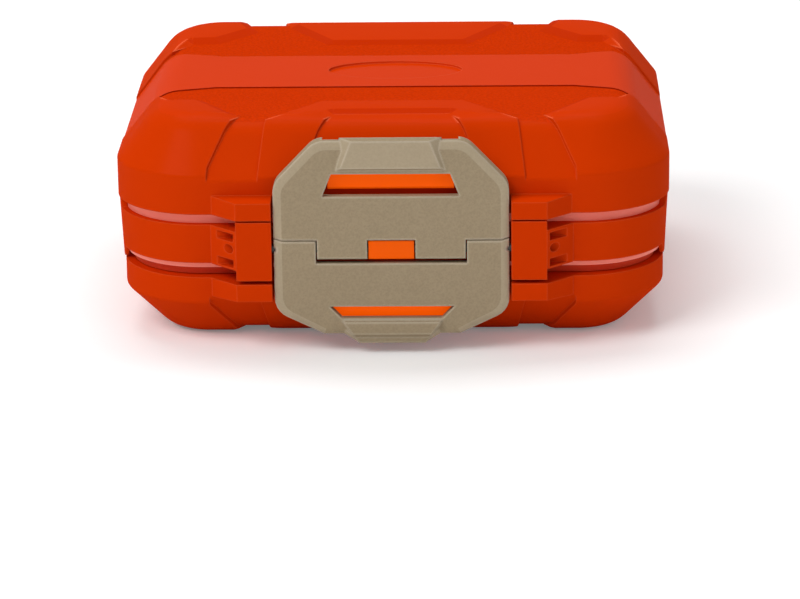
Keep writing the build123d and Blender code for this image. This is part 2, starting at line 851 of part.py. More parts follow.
# Four short hinge pins at the rear.
for level, hinge_z in (("upper", hinge_upper_z), ("lower", hinge_lower_z)):
    for place, x in (("left", -hinge_x), ("right", hinge_x)):
        with BuildPart() as hinge_pin:
            with BuildSketch(Plane.YZ.offset(x - hinge_half)):
                with Locations((hinge_y, hinge_z)):
                    Circle(hinge_pin_r)
            extrude(amount=2 * hinge_half)
        hinge_pin.part.label = f"{level}_hinge_pin_{place}"
        export_step(hinge_pin.part, f"parts/{level}_hinge_pin_{place}.step")

# Compartment trays on both faces of the web, open away from it.
floor_upper = web_high + tray_seat
floor_lower = web_low - tray_seat
with BuildPart() as upper_tray:
    with Locations((0, 0, floor_upper)):
        add(tray_form(tray_top_upper - floor_upper))
upper_tray.part.label = "upper_tray"
export_step(upper_tray.part, "parts/upper_tray.step")

with BuildPart() as lower_tray:
    with Locations((0, 0, floor_lower)):
        add(tray_form(floor_lower - tray_top_lower).mirror(Plane.XY))
lower_tray.part.label = "lower_tray"
export_step(lower_tray.part, "parts/lower_tray.step")

# Lift-out dividers, standing in the guides of both trays.
row_y = (spine / 2 + tray_y / 2 - tray_wall) / 2
upper_spots = [(-1, -1), (1, -1), (-1, 1), (1, 1)]
lower_spots = [(0, -1), (-1, 1), (1, 1)]
upper_blade = divider_form(tray_top_upper - floor_upper - tray_wall - 1.4)
lower_blade = divider_form(floor_lower - tray_top_lower - tray_wall - 1.0).mirror(Plane.XY)
for level, spots, blade, z in (
    ("upper", upper_spots, upper_blade, floor_upper + tray_wall),
    ("lower", lower_spots, lower_blade, floor_lower - tray_wall),
):
    for number, (column, row) in enumerate(spots, start=1):
        with BuildPart() as divider:
            with Locations((column * divider_pitch, row * row_y, z)):
                add(blade)
        divider.part.label = f"{level}_divider_{number}"
        export_step(divider.part, f"parts/{level}_divider_{number}.step")

# Four rivets hold the two trays together through the web.
for number, (x, y) in enumerate(
    [(-rivet_x, -rivet_y), (rivet_x, -rivet_y), (-rivet_x, rivet_y), (rivet_x, rivet_y)], start=1
):
    top = floor_upper + tray_wall
    bottom = floor_lower - tray_wall
    with BuildPart() as rivet:
        with BuildSketch(Plane.XY.offset(bottom - rivet_head)):
            with Locations((x, y)):
                Circle(rivet_head_r)
        extrude(amount=rivet_head)
        with BuildSketch(Plane.XY.offset(bottom)):
            with Locations((x, y)):
                Circle(rivet_r)
        extrude(amount=top - bottom)
        with BuildSketch(Plane.XY.offset(top)):
            with Locations((x, y)):
                Circle(rivet_head_r)
        extrude(amount=rivet_head)
        chamfer(rivet.edges().group_by(Axis.Z)[-1] + rivet.edges().group_by(Axis.Z)[0], 0.4)
    rivet.part.label = f"tray_rivet_{number}"
    export_step(rivet.part, f"parts/tray_rivet_{number}.step")

# Foam pads glued inside both lids.
roof_upper = rim_upper + lid_height - corner_lift - lid_wall
roof_lower = corner_lift + lid_wall
for level, low, thick in (
    ("upper", roof_upper - foam_upper_t, foam_upper_t), ("lower", roof_lower, foam_lower_t)
):
    with BuildPart() as foam:
        with BuildSketch(Plane.XY.offset(low)):
            RectangleRounded(foam_x, foam_y, foam_corner)
        extrude(amount=thick)
    foam.part.label = f"{level}_foam"
    export_step(foam.part, f"parts/{level}_foam.step")
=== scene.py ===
import logging
from dataclasses import dataclass, field, replace
from enum import Enum, IntEnum
from math import cos, pi, radians, sin

import bmesh
import bpy
from mathutils import Matrix, Vector


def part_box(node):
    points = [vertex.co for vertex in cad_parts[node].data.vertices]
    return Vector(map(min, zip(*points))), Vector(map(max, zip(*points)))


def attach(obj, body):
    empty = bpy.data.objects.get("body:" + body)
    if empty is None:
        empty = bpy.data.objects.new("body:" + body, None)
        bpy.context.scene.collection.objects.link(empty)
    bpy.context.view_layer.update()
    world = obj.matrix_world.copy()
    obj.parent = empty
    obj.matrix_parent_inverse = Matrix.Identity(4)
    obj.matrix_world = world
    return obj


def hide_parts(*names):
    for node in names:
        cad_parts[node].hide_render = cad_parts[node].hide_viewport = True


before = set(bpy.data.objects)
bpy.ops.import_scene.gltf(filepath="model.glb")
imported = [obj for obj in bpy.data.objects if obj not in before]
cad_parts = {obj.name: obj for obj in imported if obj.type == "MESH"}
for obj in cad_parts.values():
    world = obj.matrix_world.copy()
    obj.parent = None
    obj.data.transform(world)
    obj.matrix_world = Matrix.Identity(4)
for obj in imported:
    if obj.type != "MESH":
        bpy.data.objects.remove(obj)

# Looks of a double-sided tackle box: lids, frame, seals, latches, hinges, trays and foam.
# All lengths in the dataclasses are millimetres; meshes are metres.

log = logging.getLogger("tackle_box")

PER_METRE = 1000.0
WHITE = (1.0, 1.0, 1.0, 1.0)

Outline = list[tuple[float, float]]
Colour = tuple[float, float, float]


class Body(Enum):
    """The bodies that move against each other."""

    UPPER_LID = "upper_lid"
    LOWER_LID = "lower_lid"
    MIDDLE = "middle"
    UPPER_LATCH = "upper_latch"
    LOWER_LATCH = "lower_latch"


class Slot(Enum):
    """The material slots of the record."""

    SHELL = "shell"
    LATCH = "latch"
    SEAL = "seal"
    STEEL = "steel"
    TRAY = "tray"
    DIVIDER = "divider"
    RIVET = "rivet"
    FOAM = "foam"


class Level(Enum):
    """Which half of the box a piece belongs to."""

    UPPER = "upper"
    LOWER = "lower"


class LidArea(IntEnum):
    """The areas of a lid, numbered as its finishes are."""

    WALL = 0
    GROUND = 1
    BAND = 2
    # Catch bar: painted glow.
    BAR = 3
    # Leaned sides of raised areas: painted shade.
    SLOPE = 4
    RAISED = 5
    # Steep sides of the cross band: painted shade.
    BAND_SIDE = 6


def metres(length: float) -> float:
    """Turns millimetres into metres."""
    return length / PER_METRE


def linear(red: int, green: int, blue: int) -> Colour:
    """Turns a screen colour into the linear values that a shader takes.

    Args:
        red: Screen value from 0 to 255.
        green: Screen value from 0 to 255.
        blue: Screen value from 0 to 255.

    Returns:
        The three linear values.
    """
    def channel(value: int) -> float:
        """Decodes one screen value."""
        share = value / 255
        return share / 12.92 if share <= 0.04045 else ((share + 0.055) / 1.055) ** 2.4

    return channel(red), channel(green), channel(blue)


class Graph:
    """A short way to add nodes to a tree and to join them."""

    def __init__(self, tree: bpy.types.NodeTree) -> None:
        """Starts from an emptied tree."""
        self.tree = tree
        tree.nodes.clear()

    def node(self, kind: str, inputs: dict[int | str, object] | None = None,
             **settings: object) -> bpy.types.Node:
        """Adds a node.

        Args:
            kind: The node's type name.
            inputs: Socket name or number, with a value or the socket that feeds it.
            settings: Properties of the node itself.

        Returns:
            The new node.
        """
        made = self.tree.nodes.new(kind)
        for name, value in settings.items():
            setattr(made, name, value)
        for key, value in (inputs or {}).items():
            if isinstance(value, bpy.types.NodeSocket):
                self.tree.links.new(value, made.inputs[key])
            else:
                made.inputs[key].default_value = value
        return made

    def maths(self, operation: str, first: object, second: object) -> bpy.types.NodeSocket:
        """The result of an operation on two numbers or sockets."""
        return self.node("ShaderNodeMath", {0: first, 1: second}, operation=operation).outputs[0]

    def mixed(self, share: object, first: object, second: object) -> bpy.types.NodeSocket:
        """A mix of two colours, with a share of the second."""
        colours = {0: share, 6: first, 7: second}
        return self.node("ShaderNodeMix", colours, data_type="RGBA").outputs[2]

    def ranged(self, value: object, source: tuple[float, float], target: tuple[float, float],
               **settings: object) -> bpy.types.NodeSocket:
        """Carries a value from one range over to another.

        Args:
            value: The value or its socket.
            source: The two ends of its own range.
            target: What the two ends become.
            settings: Properties of the node itself.

        Returns:
            The socket of the new value.
        """
        return self.node("ShaderNodeMapRange", {
            "Value": value, "From Min": source[0], "From Max": source[1],
            "To Min": target[0], "To Max": target[1],
        }, **settings).outputs[0]

    def seen(self) -> bpy.types.NodeSocket:
        """One for what the camera, metal and glass see, zero for light that falls elsewhere.

        Returns:
            The socket.
        """
        rays = self.node("ShaderNodeLightPath").outputs
        plain = self.maths("MAXIMUM", rays["Is Camera Ray"], rays["Is Glossy Ray"])
        return self.maths("MAXIMUM", plain, rays["Is Transmission Ray"])


@dataclass(frozen=True)
class Finish:
    """What every finish has: a name, two close colours, gloss and a fine grain."""

    name: str
    colour: Colour
    second: Colour
    roughness: float = 0.45
    swing: float = 0.06
    mottle_size: float = 14.0
    mottle_span: tuple[float, float] = (0.3, 0.7)
    grain_size: float = 0.5
    grain_depth: float = 0.02
    pit_shading: float = 0.0
    stretch: tuple[float, float, float] = (1.0, 1.0, 1.0)
    metallic: float = 0.0
    specular: float = 0.5
    coat: float = 0.0
    coat_roughness: float = 0.3
    glow: float = 0.0
    glow_colour: Colour = (1.0, 1.0, 1.0)
    # edge_radius rounds the shading normal; edge_light and edge_colour paint a highlight along
    # those rounded edges.
    edge_radius: float = 0.0
    edge_light: float = 0.0
    edge_colour: Colour = (1.0, 0.62, 0.45)
    edge_turns: tuple[float, float] = (0.996, 0.965)
    pit_heights: tuple[float, float] = (1.15, 0.65)
    pit_shade: float = 0.45
    bevel_samples: int = 6

    def shader_values(self) -> dict[str, object]:
        """The shader's own socket values, beyond colour and roughness.

        Returns:
            Socket names and values.
        """
        return {
            "Metallic": self.metallic, "Specular IOR Level": self.specular,
            "Coat Weight": self.coat, "Coat Roughness": self.coat_roughness,
            "Emission Color": (*self.glow_colour, 1.0), "Emission Strength": self.glow,
        }

    def grain(self, graph: Graph, place: bpy.types.NodeSocket) -> bpy.types.NodeSocket:
        """The height pattern of the surface, about 0 to 1.

        Args:
            graph: The material's graph.
            place: The socket that gives the place on the object.

        Returns:
            The socket of the height.
        """
        return graph.node("ShaderNodeTexNoise", {
            "Vector": place, "Scale": 1 / metres(self.grain_size), "Detail": 2.0,
            "Roughness": 0.55,
        }).outputs[0]

    def shaded_pits(self, graph: Graph, colour: bpy.types.NodeSocket,
                    height: bpy.types.NodeSocket) -> bpy.types.NodeSocket:
        """Darkens the colour a little in the pits of the grain: painted shade in the pits.

        Args:
            graph: The material's graph.
            colour: The socket of the colour so far.
            height: The socket of the grain's height.

        Returns:
            The socket of the new colour.
        """
        pits = graph.ranged(height, self.pit_heights, (0.0, self.pit_shading))
        return graph.mixed(pits, colour, (*(part * self.pit_shade for part in self.second), 1.0))

    def lit_edges(self, graph: Graph, colour: bpy.types.NodeSocket,
                  rounded: bpy.types.NodeSocket) -> bpy.types.NodeSocket:
        """Paints a highlight into the colour where an edge is rounded, on hollow edges as on
        raised ones.

        Args:
            graph: The material's graph.
            colour: The socket of the colour so far.
            rounded: The socket of the rounded normal.

        Returns:
            The socket of the new colour.
        """
        flat = graph.node("ShaderNodeNewGeometry").outputs["Normal"]
        along = graph.node("ShaderNodeVectorMath", {0: flat, 1: rounded}, operation="DOT_PRODUCT")
        edges = graph.ranged(along.outputs["Value"], self.edge_turns, (0.0, self.edge_light))
        return graph.mixed(edges, colour, (*self.edge_colour, 1.0))

    def material(self) -> bpy.types.Material:
        """Builds the material once and gives it back after that.

        Returns:
            The material.
        """
        known = bpy.data.materials.get(self.name)
        if known:
            return known
        made = bpy.data.materials.new(self.name)
        made.use_nodes = True
        graph = Graph(made.node_tree)
        place = graph.node("ShaderNodeTexCoord").outputs["Object"]
        drawn = graph.node("ShaderNodeMapping", {"Vector": place, "Scale": self.stretch})
        mottle = graph.node("ShaderNodeTexNoise", {
            "Vector": place, "Scale": 1 / metres(self.mottle_size), "Detail": 4.0,
            "Roughness": 0.6,
        }).outputs[0]
        colour = graph.mixed(mottle, (*self.colour, 1.0), (*self.second, 1.0))
        grain = self.grain(graph, drawn.outputs[0])
        bump_inputs = {"Height": grain, "Strength": 1.0, "Distance": metres(self.grain_depth)}
        # Painted shade in the pits of the grain.
        if self.pit_shading:
            colour = self.shaded_pits(graph, colour, grain)
        # Painted highlight along rounded edges.
        if self.edge_radius:
            rounded = graph.node("ShaderNodeBevel", {"Radius": metres(self.edge_radius)},
                                 samples=self.bevel_samples)
            bump_inputs["Normal"] = rounded.outputs[0]
            colour = self.lit_edges(graph, colour, rounded.outputs[0])
        gloss = graph.ranged(
            mottle, self.mottle_span, (self.roughness - self.swing, self.roughness + self.swing))
        bump = graph.node("ShaderNodeBump", bump_inputs)
        shader = graph.node("ShaderNodeBsdfPrincipled", {
            "Base Color": colour, "Roughness": gloss, "Normal": bump.outputs[0],
            **self.shader_values(),
        })
        graph.node("ShaderNodeOutputMaterial", {"Surface": self.surface(graph, shader)})
        return made

    def surface(self, graph: Graph, shader: bpy.types.Node) -> bpy.types.NodeSocket:
        """The socket that the material shows, the plain shader as a rule."""
        return shader.outputs[0]


@dataclass(frozen=True)
class SparkGrain(Finish):
    """Moulded plastic with the even pitted grain of an eroded mould."""

    def grain(self, graph: Graph, place: bpy.types.NodeSocket) -> bpy.types.NodeSocket:
        """Small pits over a soft unevenness.

        Args:
            graph: The material's graph.
            place: The socket that gives the place on the object.

        Returns:
            The socket of the height.
        """
        pits = graph.node("ShaderNodeTexVoronoi", {
            "Vector": place, "Scale": 1 / metres(self.grain_size),
        }, feature="SMOOTH_F1")
        soft = graph.node("ShaderNodeTexNoise", {
            "Vector": place, "Scale": 0.7 / metres(self.grain_size), "Detail": 3.0,
        })
        return graph.maths("ADD", pits.outputs["Distance"], soft.outputs[0])


@dataclass(frozen=True)
class ClearRubber(Finish):
    """Soft, slightly clear rubber."""

    clearness: float = 0.35

    def shader_values(self) -> dict[str, object]:
        """Adds light that passes under the skin.

        Returns:
            Socket names and values.
        """
        return {
            **super().shader_values(), "Subsurface Weight": self.clearness,
            "Subsurface Radius": (1.0, 0.35, 0.3), "Subsurface Scale": metres(1.2),
        }


@dataclass(frozen=True)
class FrostedPlastic(Finish):
    """Part-clear plastic of trays and dividers."""

    clearness: float = 0.3

    def shader_values(self) -> dict[str, object]:
        """Adds the clear share."""
        return {**super().shader_values(), "Transmission Weight": self.clearness}


@dataclass(frozen=True)
class CellFoam(Finish):
    """Closed-cell foam with open pores at its skin."""

    def shader_values(self) -> dict[str, object]:
        """Adds the dusty sheen of foam."""
        return {**super().shader_values(), "Sheen Weight": 0.25, "Sheen Roughness": 0.6}

    def grain(self, graph: Graph, place: bpy.types.NodeSocket) -> bpy.types.NodeSocket:
        """Round cells.

        Args:
            graph: The material's graph.
            place: The socket that gives the place on the object.

        Returns:
            The socket of the height.
        """
        return graph.node("ShaderNodeTexVoronoi", {
            "Vector": place, "Scale": 1 / metres(self.grain_size),
        }).outputs["Distance"]


@dataclass(frozen=True)
class Paper(Finish):
    """Studio paper that the camera sees a little brighter than it lights the object."""

    lift: float = 0.16
    far_lift: float = 0.62
    near: float = 0.45
    far: float = 2.2

    def surface(self, graph: Graph, shader: bpy.types.Node) -> bpy.types.NodeSocket:
        """Adds the glow for what the camera, metal and glass see, stronger where lamps fade.

        Args:
            graph: The material's graph.
            shader: The paper's plain shader.

        Returns:
            The socket of shader and glow together.
        """
        place = graph.node("ShaderNodeTexCoord").outputs["Object"]
        away = graph.node("ShaderNodeVectorMath", {0: place}, operation="LENGTH")
        lift = graph.ranged(
            away.outputs["Value"], (self.near, self.far), (self.lift, self.far_lift),
            interpolation_type="SMOOTHSTEP")
        glow = graph.node("ShaderNodeEmission", {
            "Color": WHITE, "Strength": graph.maths("MULTIPLY", graph.seen(), lift),
        })
        return graph.node("ShaderNodeAddShader", {
            0: shader.outputs[0], 1: glow.outputs[0],
        }).outputs[0]


ORANGE = linear(213, 55, 2)
ORANGE_DEEP = linear(208, 52, 1)
# Colour of the painted highlight along edges; each edge_light below sets how strong it is.
EDGE_HIGHLIGHT_ORANGE = linear(246, 108, 66)
SHELL_GRAIN = SparkGrain(
    "shell_grained", ORANGE, ORANGE_DEEP, roughness=0.6, grain_size=0.55, grain_depth=0.13,
    pit_shading=0.24, specular=0.0, coat=0.02, coat_roughness=0.45, edge_radius=0.35,
    edge_light=0.2, edge_colour=EDGE_HIGHLIGHT_ORANGE,
)
SHELL_SMOOTH = Finish(
    "shell_smooth", linear(208, 55, 0), linear(204, 53, 0), roughness=0.5, grain_size=1.6,
    grain_depth=0.003, specular=0.0, coat=0.03, coat_roughness=0.3, edge_radius=0.4,
    edge_light=0.22, edge_colour=EDGE_HIGHLIGHT_ORANGE,
)
# Strong painted highlight along the raised panels' edges.
SHELL_PANEL = replace(
    SHELL_SMOOTH, name="shell_panel", colour=linear(212, 56, 3), second=linear(208, 54, 2),
    edge_radius=0.9, edge_light=1.0,
)
# Darker copy of the smooth orange: painted shade on leaned sides of raised areas, with a painted
# highlight along their edges.
SHELL_SLOPE_SHADE = replace(
    SHELL_SMOOTH, name="shell_slope_painted_shade", colour=linear(201, 48, 0), second=linear(197, 46, 0),
    edge_radius=0.45, edge_light=0.6,
)
# Darker copy of the smooth orange: painted shade on the steep sides of the cross band.
SHELL_BAND_SIDE_SHADE = replace(
    SHELL_SMOOTH, name="shell_band_side_painted_shade", colour=linear(168, 34, 0), second=linear(160, 31, 0),
    roughness=0.55, coat=0.0, edge_radius=0.0,
)
# Painted highlight along the band's edges.
SHELL_BAND = replace(
    SHELL_SMOOTH, name="shell_band", colour=linear(216, 58, 3), second=linear(213, 56, 2),
    roughness=0.4, coat=0.06, coat_roughness=0.16, edge_radius=0.35, edge_light=0.55,
)
SHELL_BRIGHT = Finish(
    "shell_bright", linear(253, 96, 4), linear(250, 92, 3), roughness=0.35, grain_size=2.5,
    grain_depth=0.002, specular=0.0, coat=0.1, coat_roughness=0.15, edge_radius=0.3,
)
# Catch bars glow orange: painted light.
BAR_PAINTED_GLOW = replace(
    SHELL_BRIGHT, name="bar_painted_glow", colour=linear(252, 92, 3), second=linear(250, 88, 2),
    coat=0.08, glow=0.3, glow_colour=linear(255, 94, 3),
)
# Stronger painted glow for the bar that lies in shade.
BAR_PAINTED_GLOW_STRONG = replace(BAR_PAINTED_GLOW, name="bar_painted_glow_strong", glow=0.5)
# Painted highlight along the latch's edges, in a pale grey.
LATCH_GREY = SparkGrain(
    "latch_grey", linear(165, 148, 121), linear(159, 142, 115), roughness=0.6,
    grain_size=0.42, grain_depth=0.06, pit_shading=0.2, specular=0.0, coat=0.08,
    coat_roughness=0.4, edge_radius=0.8, edge_light=0.5, edge_colour=linear(214, 200, 178),
)
# Lighter copy of the latch grey: painted light on faces that look sideways and up, and on the
# finger pad.
LATCH_PAINTED_LIGHT = replace(
    LATCH_GREY, name="latch_painted_light", colour=linear(178, 162, 136),
    second=linear(172, 156, 130), roughness=0.5, grain_depth=0.03, pit_shading=0.1, coat=0.12,
    coat_roughness=0.35, edge_light=0.4, edge_colour=linear(222, 208, 188),
)
# The glow is painted light, and the pale colour is partly painted light as well, against the shade
# under the lid.
SEAL_ROSE = ClearRubber(
    "seal_rose", linear(244, 138, 120), linear(238, 126, 108), roughness=0.4, swing=0.05,
    grain_size=1.2, grain_depth=0.01, specular=0.1, coat=0.2, coat_roughness=0.2, glow=0.09,
    glow_colour=linear(255, 130, 110), edge_radius=0.3,
)
SEAL_DEEP = ClearRubber(
    "seal_deep", linear(214, 70, 40), linear(206, 62, 32), roughness=0.4, swing=0.05,
    grain_size=1.2, grain_depth=0.01, specular=0.05, edge_radius=0.25,
)
PIN_STEEL = Finish(
    "pin_steel", (0.45, 0.45, 0.45), (0.36, 0.36, 0.36), roughness=0.4, grain_size=0.3,
    grain_depth=0.004, stretch=(0.05, 1.0, 1.0), metallic=1.0,
)
# Near-black, not steel: painted shade, so that the pin reads as the dark gap it crosses.
PIN_PAINTED_SHADE = replace(
    PIN_STEEL, name="pin_painted_shade", colour=(0.07, 0.065, 0.06), second=(0.045, 0.04, 0.04),
    roughness=0.55,
)
TRAY_FROST = FrostedPlastic(
    "tray_frosted", (0.66, 0.68, 0.68), (0.6, 0.63, 0.63), roughness=0.42, grain_size=0.8,
    grain_depth=0.015,
)
DIVIDER_FROST = replace(
    TRAY_FROST, name="divider_frosted", colour=(0.78, 0.8, 0.8), second=(0.72, 0.75, 0.75),
    roughness=0.36, grain_depth=0.012, clearness=0.4,
)
RIVET_BLACK = Finish(
    "rivet_black", (0.1, 0.1, 0.1), (0.07, 0.07, 0.07), roughness=0.4, grain_size=0.6,
    grain_depth=0.01,
)
FOAM_DARK = CellFoam(
    "foam_dark", (0.05, 0.05, 0.055), (0.035, 0.035, 0.04), roughness=0.9, grain_size=0.55,
    grain_depth=0.12,
)


def smooth_by_angle(mesh: bpy.types.Mesh, degrees: float) -> None:
    """Shades a mesh smooth, with sharp edges where it turns by more than an angle.

    Args:
        mesh: The mesh.
        degrees: The angle.
    """
    for name in ("custom_normal", "sharp_face"):
        if name in mesh.attributes:
            mesh.attributes.remove(mesh.attributes[name])
    mesh.shade_smooth()
    mesh.set_sharp_from_angle(angle=radians(degrees))


def new_object(name: str, mesh: bpy.types.Mesh) -> bpy.types.Object:
    """Links a new object at the origin to the scene.

    Args:
        name: The object's name.
        mesh: Its mesh.

    Returns:
        The object.
    """
    made = bpy.data.objects.new(name, mesh)
    bpy.context.scene.collection.objects.link(made)
    return made


def settled(piece: bpy.types.Object) -> bpy.types.Object:
    """Turns what a piece's modifiers make into its plain mesh and removes them.

    Args:
        piece: The piece with live modifiers.

    Returns:
        The same piece.
    """
    graph = bpy.context.evaluated_depsgraph_get()
    mesh = bpy.data.meshes.new_from_object(
        piece.evaluated_get(graph), preserve_all_data_layers=True, depsgraph=graph)
    piece.modifiers.clear()
    old, piece.data = piece.data, mesh
    mesh.name = piece.name
    bpy.data.meshes.remove(old)
    return piece


@dataclass
class MouldedPart:
    """A rigid CAD piece with smooth shading and the finishes of its mould."""

    node: str
    body: Body
    slot: Slot
    finish: Finish
    weld: float = 0.002
    flat_within: float = 0.7
    sharp_from: float = 30.0
    shading_weight: int = 80

    def merged(self) -> bpy.types.Mesh:
        """A copy of the node's mesh with shared corners and whole flat faces.

        Returns:
            The new mesh.
        """
        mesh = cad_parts[self.node].data.copy()
        mesh.name = self.node + "_moulded"
        shape = bmesh.new()
        shape.from_mesh(mesh)
        bmesh.ops.remove_doubles(shape, verts=shape.verts, dist=metres(self.weld))
        bmesh.ops.dissolve_limit(
            shape, angle_limit=radians(self.flat_within), verts=shape.verts,
            edges=shape.edges, use_dissolve_boundaries=False)
        bmesh.ops.recalc_face_normals(shape, faces=shape.faces)
        shape.to_mesh(mesh)
        shape.free()
        smooth_by_angle(mesh, self.sharp_from)
        return mesh

    def finishes(self) -> list[Finish]:
        """The finishes of the piece, the main one first."""
        return [self.finish]

    def area(self, place: Vector, facing: Vector) -> int:
        """The number of the finish at a place, given in millimetres, on a face."""
        return 0

    def dress(self, mesh: bpy.types.Mesh) -> None:
        """Gives each face of the mesh the finish at the middle of its largest triangle.

        Args:
            mesh: The mesh to dress.
        """
        mesh.materials.clear()
        for finish in self.finishes():
            mesh.materials.append(finish.material())
        mesh.calc_loop_triangles()
        largest: dict[int, float] = {}
        for triangle in mesh.loop_triangles:
            face = triangle.polygon_index
            if triangle.area <= largest.get(face, -1.0):
                continue
            largest[face] = triangle.area
            total = sum((mesh.vertices[corner].co for corner in triangle.vertices), Vector())
            mesh.polygons[face].material_index = self.area(
                total * (PER_METRE / 3), mesh.polygons[face].normal)

    def build(self) -> bpy.types.Object:
        """Makes the piece, which stands for its node.

        Returns:
            The finished piece.
        """
        mesh = self.merged()
        self.dress(mesh)
        piece = new_object(self.node + "_moulded", mesh)
        shading = piece.modifiers.new("shading", "WEIGHTED_NORMAL")
        shading.keep_sharp = True
        shading.weight = self.shading_weight
        settled(piece)
        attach(piece, self.body.value)
        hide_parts(self.node)
        return piece


@dataclass
class MiddleFrame(MouldedPart):
    """The frame, with a bright knuckle for the latch pin."""

    knuckle_half: float = 5.25
    knuckle_front: float = -56.0

    def finishes(self) -> list[Finish]:
        """The smooth frame and its bright knuckle."""
        return [self.finish, SHELL_BRIGHT]

    def area(self, place: Vector, facing: Vector) -> int:
        """Bright on the knuckle in front of the wall."""
        return int(place.y < self.knuckle_front and abs(place.x) <= self.knuckle_half)


@dataclass
class Lid(MouldedPart):
    """A lid: smooth raised areas and a cross band on a grained ground, and a catch bar; painted
    shade on its leaned slopes and band sides, a painted glow on the bar.
    """

    half_width: float = 64.3
    half_depth: float = 55.5
    band_centre: float = -3.5
    band_half: float = 14.4
    band_flare: float = 19.0
    band_slack: float = 0.4
    band_side_facing: float = 0.8
    band_side_from: float = 14.0
    bar_half: float = 14.45
    bar_back: float = -55.4
    bar_heights: tuple[float, float] = (38.6, 44.2)
    bar_finish: Finish = BAR_PAINTED_GLOW
    middle: float = 26.5
    flat_from: float = 24.0
    flat_facing: float = 0.9
    slope_facing: float = 0.927
    slope_slack: float = 0.002
    shoulder: float = 12.5
    corner_reach: float = 86.0
    past_side: float = 2.0
    past_end: float = 8.0

    def smooth_areas(self) -> list[Outline]:
        """Plan outlines of the smooth areas of the lid.

        Returns:
            The outlines of the band, the panels and the corner blocks, in this order.
        """
        x, y = self.half_width, self.half_depth
        side, front, back = x + self.past_side, -y - self.past_end, y + self.past_end
        near, far = self.band_centre - self.band_half, self.band_centre + self.band_half
        low, high = self.band_centre - self.band_flare, self.band_centre + self.band_flare
        band = [
            (-side, low), (-x + 10, low + 1), (-x + 22, near), (x - 22, near),
            (x - 10, low + 1), (side, low), (side, high), (x - 10, high - 1),
            (x - 22, far), (-x + 22, far), (-x + 10, high - 1), (-side, high),
        ]
        front_panel = [
            (-17.4, near - 12.6), (-28.9, -y + 10), (-32, front), (32, front),
            (28.9, -y + 10), (17.4, near - 12.6),
        ]
        back_panel = [
            (-17.3, far + 11.8), (17.3, far + 11.8), (27.4, y - 15), (32, back), (-32, back),
            (-27.4, y - 15),
        ]
        front_corner = [
            (side, low - 0.3), (x - 9, low - 2), (x - 13, -y + 26.5), (x - 20, -y + 26.3),
            (x - 29.4, -y + 12.2), (x - 22.2, -y + 1.5), (x - 21.2, front), (side, front),
        ]
        back_corner = [
            (side, high + 0.3), (x - 9, high + 2), (x - 14, y - 31.4), (x - 20.4, y - 31),
            (x - 29.6, y - 19.7), (x - 25.5, y - 8), (x - 22, back), (side, back),
        ]
        other = [[(-px, py) for px, py in points] for points in (front_corner, back_corner)]
        return [band, front_panel, back_panel, front_corner, back_corner, *other]

    @staticmethod
    def inside(outline: Outline, x: float, y: float) -> bool:
        """Says whether a plan point lies inside an outline.

        Args:
            outline: The corners of the outline.
            x: The point's first coordinate.
            y: The point's second coordinate.

        Returns:
            Whether it does.
        """
        hit = False
        for (ax, ay), (bx, by) in zip(outline, outline[1:] + outline[:1]):
            if (ay > y) != (by > y) and x < ax + (y - ay) / (by - ay) * (bx - ax):
                hit = not hit
        return hit

    def finishes(self) -> list[Finish]:
        """The finish of each area.

        Returns:
            The finishes in the order of the areas.
        """
        by_area = {
            LidArea.WALL: self.finish, LidArea.GROUND: SHELL_GRAIN, LidArea.BAND: SHELL_BAND,
            LidArea.BAR: self.bar_finish, LidArea.SLOPE: SHELL_SLOPE_SHADE,
            LidArea.RAISED: SHELL_PANEL, LidArea.BAND_SIDE: SHELL_BAND_SIDE_SHADE,
        }
        return [by_area[area] for area in LidArea]

    def on_bar(self, place: Vector) -> bool:
        """Says whether a place is on the catch bar."""
        low, high = self.bar_heights
        return abs(place.x) <= self.bar_half and place.y < self.bar_back and low <= place.z <= high

    def on_slope(self, place: Vector, facing: Vector) -> bool:
        """Says whether a face is a leaned side of what is raised on the flat top.

        Args:
            place: A place on the face, in millimetres.
            facing: The face's normal.

        Returns:
            Whether it is.
        """
        across, along = abs(place.x), abs(place.y)
        on_top = (across < self.half_width - self.shoulder
                  and along < self.half_depth - self.shoulder
                  and across + along < self.corner_reach)
        return on_top and abs(abs(facing.z) - self.slope_facing) < self.slope_slack

    def on_band_side(self, place: Vector, facing: Vector) -> bool:
        """Says whether a face is a steep side of the cross band.

        Args:
            place: A place on the face, in millimetres.
            facing: The face's normal.

        Returns:
            Whether it is.
        """
        away = abs(place.y - self.band_centre)
        beside = self.band_half - self.band_slack < away < self.band_flare + self.band_slack
        steep = abs(facing.y) > self.band_side_facing
        return beside and steep and abs(place.z - self.middle) > self.band_side_from

    def area(self, place: Vector, facing: Vector) -> LidArea:
        """The area that a face belongs to.

        Args:
            place: A place on the face, in millimetres.
            facing: The face's normal.

        Returns:
            The area.
        """
        # The catch bar gets a painted glow.
        if self.on_bar(place):
            return LidArea.BAR
        # Leaned slopes get painted shade.
        if self.on_slope(place, facing):
            return LidArea.SLOPE
        # Steep band sides get painted shade.
        if self.on_band_side(place, facing):
            return LidArea.BAND_SIDE
        band, *panels = self.smooth_areas()
        if self.inside(band, place.x, place.y):
            return LidArea.BAND
        if abs(facing.z) < self.flat_facing or abs(place.z - self.middle) < self.flat_from:
            return LidArea.WALL
        raised = any(self.inside(panel, place.x, place.y) for panel in panels)
        return LidArea.RAISED if raised else LidArea.GROUND


